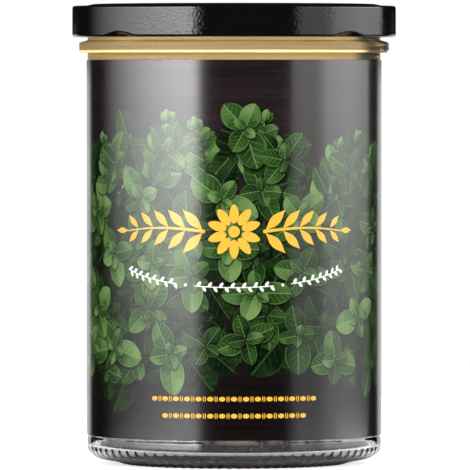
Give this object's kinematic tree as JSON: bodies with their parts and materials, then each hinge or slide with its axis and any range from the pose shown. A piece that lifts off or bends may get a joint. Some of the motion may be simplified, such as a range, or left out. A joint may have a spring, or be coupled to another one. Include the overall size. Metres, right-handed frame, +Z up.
{
  "type": "herb growing jar",
  "caption": "Lidded clear glass jar of growing medium with a wrap-round leaf-pattern label, a gold neck band and a black twist-off lid.",
  "frame": {"origin": "middle of the foot, on the surface that the jar stands on", "axes": "+Z up along the jar's axis, front of the label facing -Y"},
  "size_m": [0.0852, 0.0852, 0.1214],
  "materials": {
    "glass": "clear, glossy",
    "medium": "dull, crumbly",
    "label_print": "printed, glossy varnish",
    "gold_band": "satin gold film",
    "black_lacquer": "glossy black lacquer",
    "liner": "matt"
  },
  "bodies": {
    "jar": {"glass_jar": "glass", "growing_medium": "medium", "label": "label_print", "neck_band": "gold_band"},
    "cap": {"lid": "black_lacquer", "lid_liner": "liner"}
  },
  "joints": [
    {"name": "lid_turn", "type": "hinge", "parent": "jar", "child": "cap", "pos_m": [0, 0, 0.1125], "axis": [0, 0, 1], "range_deg": [0, 54]}
  ]
}
